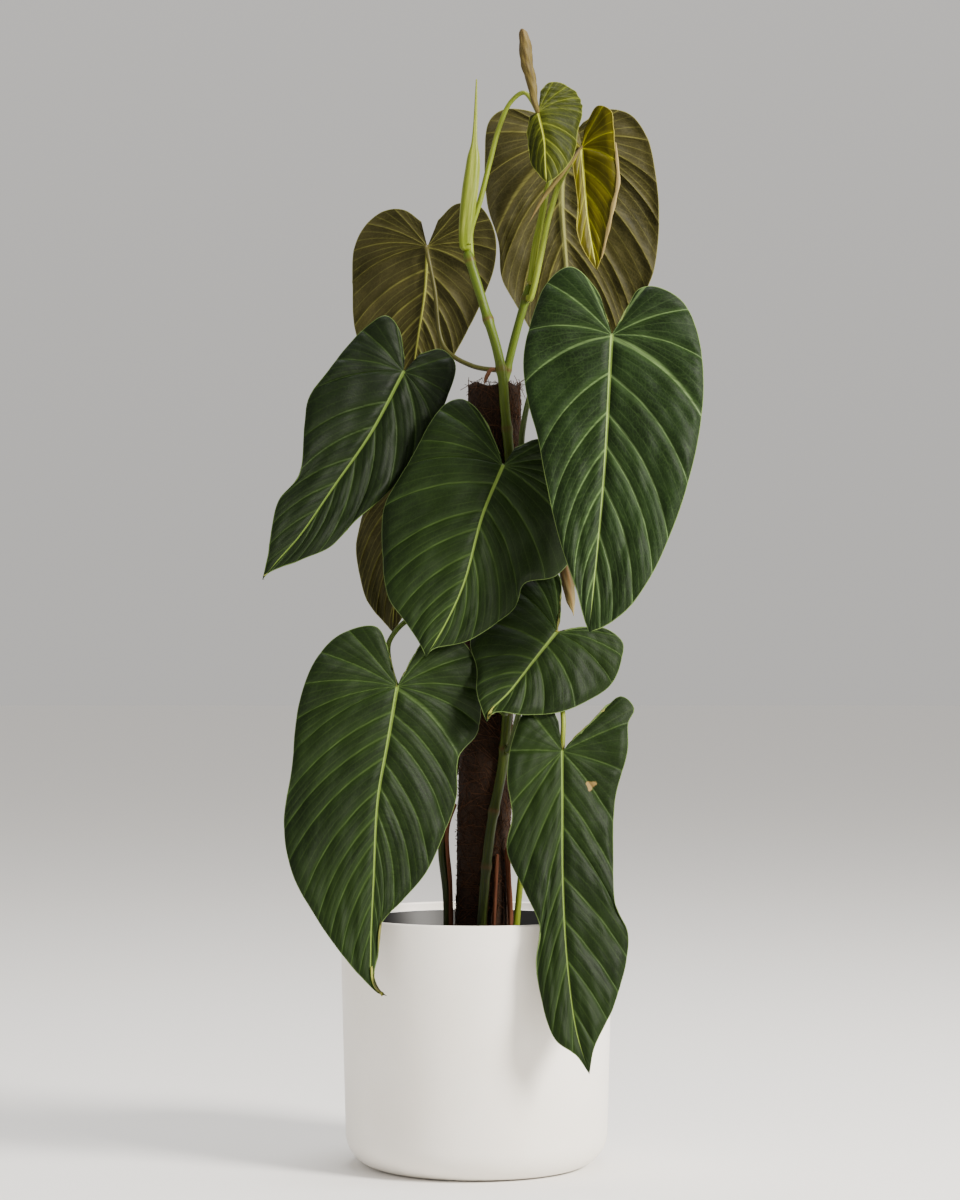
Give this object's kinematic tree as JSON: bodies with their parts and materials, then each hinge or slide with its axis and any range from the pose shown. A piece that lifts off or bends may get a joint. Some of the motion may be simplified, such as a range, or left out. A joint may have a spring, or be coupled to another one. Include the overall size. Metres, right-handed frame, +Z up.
{
  "type": "potted climbing plant",
  "caption": "Climbing plant with large heart-shaped hanging leaves, growing up a dark coir pole, in a nursery pot inside a plain white round pot.",
  "frame": {"origin": "centre of the white pot's flat foot, on the surface it stands on", "axes": "+Z up along the pot's axis; the plant's best side, with most upper leaf faces, looks towards -Y; +X to the right of that view"},
  "size_m": [0.349, 0.2469, 0.9233],
  "materials": {
    "white_pot": "satin",
    "black_plastic": "matte",
    "soil": "matte",
    "wood": "matte",
    "coir": "matte",
    "vine": "satin",
    "fresh_stalk": "satin",
    "stalk": "satin",
    "leaf": "satin",
    "leaf_underside": "matte",
    "young_leaf": "satin",
    "withered": "matte",
    "root": "matte"
  },
  "bodies": {
    "root": {"cachepot": "white_pot", "nursery_pot": "black_plastic", "potting_soil": "soil", "pole_stake": "wood", "coir_sleeve": "coir", "vine_main": "vine", "vine_second": "vine", "stalk_top_young": "fresh_stalk", "stalk_top_bronze": "fresh_stalk", "stalk_top_back": "fresh_stalk", "stalk_upper_left_back": "stalk", "stalk_upper_left": "stalk", "stalk_centre": "stalk", "stalk_upper_right": "stalk", "stalk_left_back": "stalk", "stalk_centre_low": "stalk", "stalk_lower_left": "stalk", "stalk_lower_right": "fresh_stalk", "blade_top_young": "young_leaf", "blade_top_bronze": "young_leaf", "blade_top_back": "leaf_underside", "blade_upper_left_back": "leaf_underside", "blade_upper_left": "leaf", "blade_centre": "leaf", "blade_upper_right": "leaf", "blade_left_back": "leaf_underside", "blade_centre_low": "leaf", "blade_lower_left": "leaf", "blade_lower_right": "leaf", "sheath_tip": "fresh_stalk", "sheath_rolled": "withered", "sheath_thin": "withered", "sheath_hanging": "withered", "sheath_stub": "withered", "root_right": "root", "root_left": "root", "root_front": "root"}
  },
  "joints": []
}
